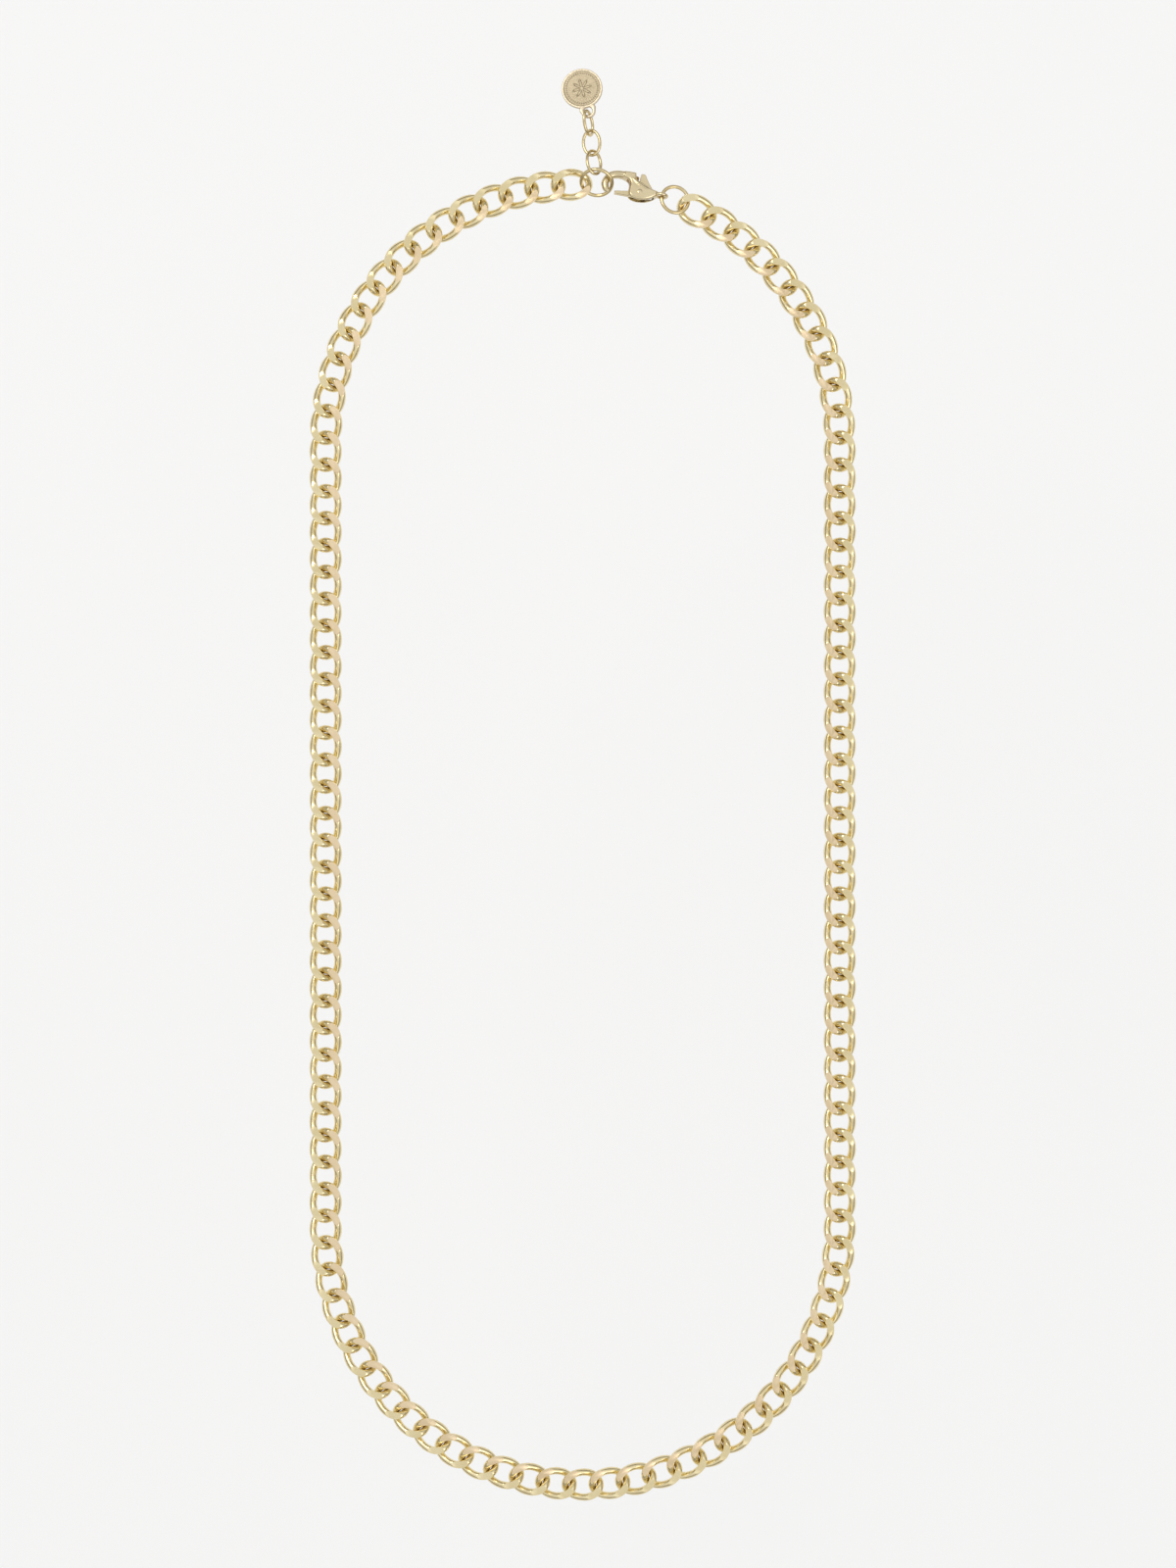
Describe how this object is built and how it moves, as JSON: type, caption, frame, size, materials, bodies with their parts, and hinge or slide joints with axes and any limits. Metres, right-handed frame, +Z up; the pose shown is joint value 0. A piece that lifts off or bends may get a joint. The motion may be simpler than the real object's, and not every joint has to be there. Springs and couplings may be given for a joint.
{
  "type": "chain necklace",
  "caption": "Gold curb-chain necklace laid out flat as a long loop, closed by a lobster clasp on two jump rings, with a short extender of oval links and a round tag.",
  "frame": {"origin": "centre of the footprint, on the surface that the necklace lies on", "axes": "+Y along the loop from its bottom to the tag, +X to the side where the clasp is tied to the chain, +Z up out of the surface"},
  "size_m": [0.1028, 0.2692, 0.0049],
  "materials": {
    "chain_gold": "polished pale gold wire with satin lapped flats",
    "ring_gold": "polished pale gold",
    "clasp_gold": "polished pale gold casting",
    "tag_gold": "satin pale gold",
    "spring_steel": "bright spring strip"
  },
  "bodies": {
    "chain_run_bottom": {"chain_run_bottom": "chain_gold"},
    "chain_run_left_01": {"chain_run_left_01": "chain_gold"},
    "chain_run_left_02": {"chain_run_left_02": "chain_gold"},
    "chain_run_left_03": {"chain_run_left_03": "chain_gold"},
    "chain_run_left_04": {"chain_run_left_04": "chain_gold"},
    "chain_run_left_05": {"chain_run_left_05": "chain_gold"},
    "chain_run_left_06": {"chain_run_left_06": "chain_gold"},
    "chain_run_left_07": {"chain_run_left_07": "chain_gold"},
    "chain_run_left_08": {"chain_run_left_08": "chain_gold"},
    "chain_run_left_09": {"chain_run_left_09": "chain_gold"},
    "chain_run_left_10": {"chain_run_left_10": "chain_gold"},
    "chain_run_left_11": {"chain_run_left_11": "chain_gold"},
    "chain_run_left_12": {"chain_run_left_12": "chain_gold"},
    "chain_run_left_13": {"chain_run_left_13": "chain_gold"},
    "chain_run_left_14": {"chain_run_left_14": "chain_gold"},
    "chain_run_left_15": {"chain_run_left_15": "chain_gold"},
    "chain_run_left_16": {"chain_run_left_16": "chain_gold"},
    "chain_run_left_17": {"chain_run_left_17": "chain_gold"},
    "chain_run_left_18": {"chain_run_left_18": "chain_gold"},
    "chain_run_left_19": {"chain_run_left_19": "chain_gold"},
    "chain_run_right_01": {"chain_run_right_01": "chain_gold"},
    "chain_run_right_02": {"chain_run_right_02": "chain_gold"},
    "chain_run_right_03": {"chain_run_right_03": "chain_gold"},
    "chain_run_right_04": {"chain_run_right_04": "chain_gold"},
    "chain_run_right_05": {"chain_run_right_05": "chain_gold"},
    "chain_run_right_06": {"chain_run_right_06": "chain_gold"},
    "chain_run_right_07": {"chain_run_right_07": "chain_gold"},
    "chain_run_right_08": {"chain_run_right_08": "chain_gold"},
    "chain_run_right_09": {"chain_run_right_09": "chain_gold"},
    "chain_run_right_10": {"chain_run_right_10": "chain_gold"},
    "chain_run_right_11": {"chain_run_right_11": "chain_gold"},
    "chain_run_right_12": {"chain_run_right_12": "chain_gold"},
    "chain_run_right_13": {"chain_run_right_13": "chain_gold"},
    "chain_run_right_14": {"chain_run_right_14": "chain_gold"},
    "chain_run_right_15": {"chain_run_right_15": "chain_gold"},
    "chain_run_right_16": {"chain_run_right_16": "chain_gold"},
    "chain_run_right_17": {"chain_run_right_17": "chain_gold"},
    "chain_run_right_18": {"chain_run_right_18": "chain_gold"},
    "jump_ring_left": {"jump_ring_left": "ring_gold"},
    "jump_ring_right": {"jump_ring_right": "ring_gold"},
    "extender_link_1": {"extender_link_1": "ring_gold"},
    "extender_link_2": {"extender_link_2": "ring_gold"},
    "extender_link_3": {"extender_link_3": "ring_gold"},
    "clasp_body": {"clasp_body": "clasp_gold", "clasp_rivet": "clasp_gold", "clasp_spring": "spring_steel"},
    "clasp_lever": {"clasp_lever": "clasp_gold"},
    "tag_disc": {"tag_disc": "tag_gold"}
  },
  "joints": [
    {"name": "fold_left_01", "type": "hinge", "parent": "chain_run_bottom", "child": "chain_run_left_01", "pos_m": [-0.00753, -0.13093, 0.00112], "axis": [1, 0, 0], "range_deg": [-8, 8]},
    {"name": "fold_right_01", "type": "hinge", "parent": "chain_run_bottom", "child": "chain_run_right_01", "pos_m": [0.00753, -0.13093, 0.00112], "axis": [1, 0, 0], "range_deg": [-8, 8]},
    {"name": "fold_left_02", "type": "hinge", "parent": "chain_run_left_01", "child": "chain_run_left_02", "pos_m": [-0.02186, -0.12629, 0.00112], "axis": [1, 0, 0], "range_deg": [-8, 8]},
    {"name": "fold_right_02", "type": "hinge", "parent": "chain_run_right_01", "child": "chain_run_right_02", "pos_m": [0.02186, -0.12629, 0.00112], "axis": [1, 0, 0], "range_deg": [-8, 8]},
    {"name": "fold_left_03", "type": "hinge", "parent": "chain_run_left_02", "child": "chain_run_left_03", "pos_m": [-0.03406, -0.11747, 0.00112], "axis": [1, 0, 0], "range_deg": [-10, 10]},
    {"name": "fold_right_03", "type": "hinge", "parent": "chain_run_right_02", "child": "chain_run_right_03", "pos_m": [0.03406, -0.11747, 0.00112], "axis": [1, 0, 0], "range_deg": [-10, 10]},
    {"name": "fold_left_04", "type": "hinge", "parent": "chain_run_left_03", "child": "chain_run_left_04", "pos_m": [-0.04295, -0.10532, 0.00112], "axis": [1, 0, 0], "range_deg": [-14, 14]},
    {"name": "fold_right_04", "type": "hinge", "parent": "chain_run_right_03", "child": "chain_run_right_04", "pos_m": [0.04295, -0.10532, 0.00112], "axis": [1, 0, 0], "range_deg": [-14, 14]},
    {"name": "fold_left_05", "type": "hinge", "parent": "chain_run_left_04", "child": "chain_run_left_05", "pos_m": [-0.04767, -0.09101, 0.00112], "axis": [1, 0, 0], "range_deg": [-15, 15]},
    {"name": "fold_right_05", "type": "hinge", "parent": "chain_run_right_04", "child": "chain_run_right_05", "pos_m": [0.04767, -0.09101, 0.00112], "axis": [1, 0, 0], "range_deg": [-15, 15]},
    {"name": "fold_left_06", "type": "hinge", "parent": "chain_run_left_05", "child": "chain_run_left_06", "pos_m": [-0.0483, -0.07593, 0.00112], "axis": [1, 0, 0], "range_deg": [-15, 15]},
    {"name": "fold_right_06", "type": "hinge", "parent": "chain_run_right_05", "child": "chain_run_right_06", "pos_m": [0.0483, -0.07593, 0.00112], "axis": [1, 0, 0], "range_deg": [-15, 15]},
    {"name": "fold_left_07", "type": "hinge", "parent": "chain_run_left_06", "child": "chain_run_left_07", "pos_m": [-0.0483, -0.06081, 0.00112], "axis": [1, 0, 0], "range_deg": [-15, 15]},
    {"name": "fold_right_07", "type": "hinge", "parent": "chain_run_right_06", "child": "chain_run_right_07", "pos_m": [0.0483, -0.06081, 0.00112], "axis": [1, 0, 0], "range_deg": [-15, 15]},
    {"name": "fold_left_08", "type": "hinge", "parent": "chain_run_left_07", "child": "chain_run_left_08", "pos_m": [-0.0483, -0.04569, 0.00112], "axis": [1, 0, 0], "range_deg": [-15, 15]},
    {"name": "fold_right_08", "type": "hinge", "parent": "chain_run_right_07", "child": "chain_run_right_08", "pos_m": [0.0483, -0.04569, 0.00112], "axis": [1, 0, 0], "range_deg": [-15, 15]},
    {"name": "fold_left_09", "type": "hinge", "parent": "chain_run_left_08", "child": "chain_run_left_09", "pos_m": [-0.0483, -0.03057, 0.00112], "axis": [1, 0, 0], "range_deg": [-15, 15]},
    {"name": "fold_right_09", "type": "hinge", "parent": "chain_run_right_08", "child": "chain_run_right_09", "pos_m": [0.0483, -0.03057, 0.00112], "axis": [1, 0, 0], "range_deg": [-15, 15]},
    {"name": "fold_left_10", "type": "hinge", "parent": "chain_run_left_09", "child": "chain_run_left_10", "pos_m": [-0.0483, -0.01545, 0.00112], "axis": [1, 0, 0], "range_deg": [-15, 15]},
    {"name": "fold_right_10", "type": "hinge", "parent": "chain_run_right_09", "child": "chain_run_right_10", "pos_m": [0.0483, -0.01545, 0.00112], "axis": [1, 0, 0], "range_deg": [-15, 15]},
    {"name": "fold_left_11", "type": "hinge", "parent": "chain_run_left_10", "child": "chain_run_left_11", "pos_m": [-0.0483, -0.00033, 0.00112], "axis": [1, 0, 0], "range_deg": [-15, 15]},
    {"name": "fold_right_11", "type": "hinge", "parent": "chain_run_right_10", "child": "chain_run_right_11", "pos_m": [0.0483, -0.00033, 0.00112], "axis": [1, 0, 0], "range_deg": [-15, 15]},
    {"name": "fold_left_12", "type": "hinge", "parent": "chain_run_left_11", "child": "chain_run_left_12", "pos_m": [-0.0483, 0.01479, 0.00112], "axis": [1, 0, 0], "range_deg": [-15, 15]},
    {"name": "fold_right_12", "type": "hinge", "parent": "chain_run_right_11", "child": "chain_run_right_12", "pos_m": [0.0483, 0.01479, 0.00112], "axis": [1, 0, 0], "range_deg": [-15, 15]},
    {"name": "fold_left_13", "type": "hinge", "parent": "chain_run_left_12", "child": "chain_run_left_13", "pos_m": [-0.0483, 0.02991, 0.00112], "axis": [1, 0, 0], "range_deg": [-15, 15]},
    {"name": "fold_right_13", "type": "hinge", "parent": "chain_run_right_12", "child": "chain_run_right_13", "pos_m": [0.0483, 0.02991, 0.00112], "axis": [1, 0, 0], "range_deg": [-15, 15]},
    {"name": "fold_left_14", "type": "hinge", "parent": "chain_run_left_13", "child": "chain_run_left_14", "pos_m": [-0.0483, 0.04503, 0.00112], "axis": [1, 0, 0], "range_deg": [-15, 15]},
    {"name": "fold_right_14", "type": "hinge", "parent": "chain_run_right_13", "child": "chain_run_right_14", "pos_m": [0.0483, 0.04503, 0.00112], "axis": [1, 0, 0], "range_deg": [-15, 15]},
    {"name": "fold_left_15", "type": "hinge", "parent": "chain_run_left_14", "child": "chain_run_left_15", "pos_m": [-0.0483, 0.06015, 0.00112], "axis": [1, 0, 0], "range_deg": [-15, 15]},
    {"name": "fold_right_15", "type": "hinge", "parent": "chain_run_right_14", "child": "chain_run_right_15", "pos_m": [0.0483, 0.06015, 0.00112], "axis": [1, 0, 0], "range_deg": [-15, 15]},
    {"name": "fold_left_16", "type": "hinge", "parent": "chain_run_left_15", "child": "chain_run_left_16", "pos_m": [-0.0471, 0.07518, 0.00112], "axis": [1, 0, 0], "range_deg": [-15, 15]},
    {"name": "fold_right_16", "type": "hinge", "parent": "chain_run_right_15", "child": "chain_run_right_16", "pos_m": [0.0471, 0.07518, 0.00112], "axis": [1, 0, 0], "range_deg": [-15, 15]},
    {"name": "fold_left_17", "type": "hinge", "parent": "chain_run_left_16", "child": "chain_run_left_17", "pos_m": [-0.04152, 0.08917, 0.00112], "axis": [1, 0, 0], "range_deg": [-14, 14]},
    {"name": "fold_right_17", "type": "hinge", "parent": "chain_run_right_16", "child": "chain_run_right_17", "pos_m": [0.04152, 0.08917, 0.00112], "axis": [1, 0, 0], "range_deg": [-14, 14]},
    {"name": "fold_left_18", "type": "hinge", "parent": "chain_run_left_17", "child": "chain_run_left_18", "pos_m": [-0.0319, 0.10075, 0.00112], "axis": [1, 0, 0], "range_deg": [-10, 10]},
    {"name": "fold_right_18", "type": "hinge", "parent": "chain_run_right_17", "child": "chain_run_right_18", "pos_m": [0.0319, 0.10075, 0.00112], "axis": [1, 0, 0], "range_deg": [-10, 10]},
    {"name": "fold_left_19", "type": "hinge", "parent": "chain_run_left_18", "child": "chain_run_left_19", "pos_m": [-0.01918, 0.10881, 0.00112], "axis": [1, 0, 0], "range_deg": [-8, 8]},
    {"name": "fold_right_19_jump_ring", "type": "hinge", "parent": "chain_run_right_18", "child": "jump_ring_right", "pos_m": [0.01918, 0.10881, 0.00112], "axis": [1, 0, 0], "range_deg": [-8, 8]},
    {"name": "clasp_roll", "type": "hinge", "parent": "jump_ring_right", "child": "clasp_body", "pos_m": [0.0148, 0.1106, 0.00189], "axis": [-0.9841, 0.17, 0.0506], "range_deg": [-6, 6]},
    {"name": "clasp_lever_open", "type": "hinge", "parent": "clasp_body", "child": "clasp_lever", "pos_m": [0.01061, 0.11099, 0.00221], "axis": [-0.1, -0.2963, -0.9498], "range_deg": [0, 18], "stiffness_Nm_per_rad": 0.006, "springref_deg": -11.46},
    {"name": "jump_ring_left_swing", "type": "hinge", "parent": "chain_run_left_19", "child": "jump_ring_left", "pos_m": [0.00262, 0.11308, 0.00214], "axis": [0.9841, -0.17, -0.0506], "range_deg": [-5, 5]},
    {"name": "extender_1_swing", "type": "hinge", "parent": "jump_ring_left", "child": "extender_link_1", "pos_m": [0.00213, 0.11456, 0.0041], "axis": [-0.7452, 0.2322, 0.6251], "range_deg": [-20, 20]},
    {"name": "extender_2_swing", "type": "hinge", "parent": "extender_link_1", "child": "extender_link_2", "pos_m": [0.00191, 0.11841, 0.00261], "axis": [-0.893, -0.1357, -0.4291], "range_deg": [-20, 20]},
    {"name": "extender_3_swing", "type": "hinge", "parent": "extender_link_2", "child": "extender_link_3", "pos_m": [0.00152, 0.12226, 0.00181], "axis": [-0.3688, -0.3908, 0.8434], "range_deg": [-20, 20]},
    {"name": "tag_swing", "type": "hinge", "parent": "extender_link_3", "child": "tag_disc", "pos_m": [0.00105, 0.12641, 0.00246], "axis": [-0.9624, -0.2698, -0.0308], "range_deg": [-20, 20]}
  ],
  "couplings": [
    {"joint": "fold_right_01", "follows": "fold_left_01", "ratio": 1},
    {"joint": "fold_right_02", "follows": "fold_left_02", "ratio": 1},
    {"joint": "fold_right_03", "follows": "fold_left_03", "ratio": 1},
    {"joint": "fold_right_04", "follows": "fold_left_04", "ratio": 1},
    {"joint": "fold_right_05", "follows": "fold_left_05", "ratio": 1},
    {"joint": "fold_right_06", "follows": "fold_left_06", "ratio": 1},
    {"joint": "fold_right_07", "follows": "fold_left_07", "ratio": 1},
    {"joint": "fold_right_08", "follows": "fold_left_08", "ratio": 1},
    {"joint": "fold_right_09", "follows": "fold_left_09", "ratio": 1},
    {"joint": "fold_right_10", "follows": "fold_left_10", "ratio": 1},
    {"joint": "fold_right_11", "follows": "fold_left_11", "ratio": 1},
    {"joint": "fold_right_12", "follows": "fold_left_12", "ratio": 1},
    {"joint": "fold_right_13", "follows": "fold_left_13", "ratio": 1},
    {"joint": "fold_right_14", "follows": "fold_left_14", "ratio": 1},
    {"joint": "fold_right_15", "follows": "fold_left_15", "ratio": 1},
    {"joint": "fold_right_16", "follows": "fold_left_16", "ratio": 1},
    {"joint": "fold_right_17", "follows": "fold_left_17", "ratio": 1},
    {"joint": "fold_right_18", "follows": "fold_left_18", "ratio": 1},
    {"joint": "fold_right_19_jump_ring", "follows": "fold_left_19", "ratio": 1}
  ]
}
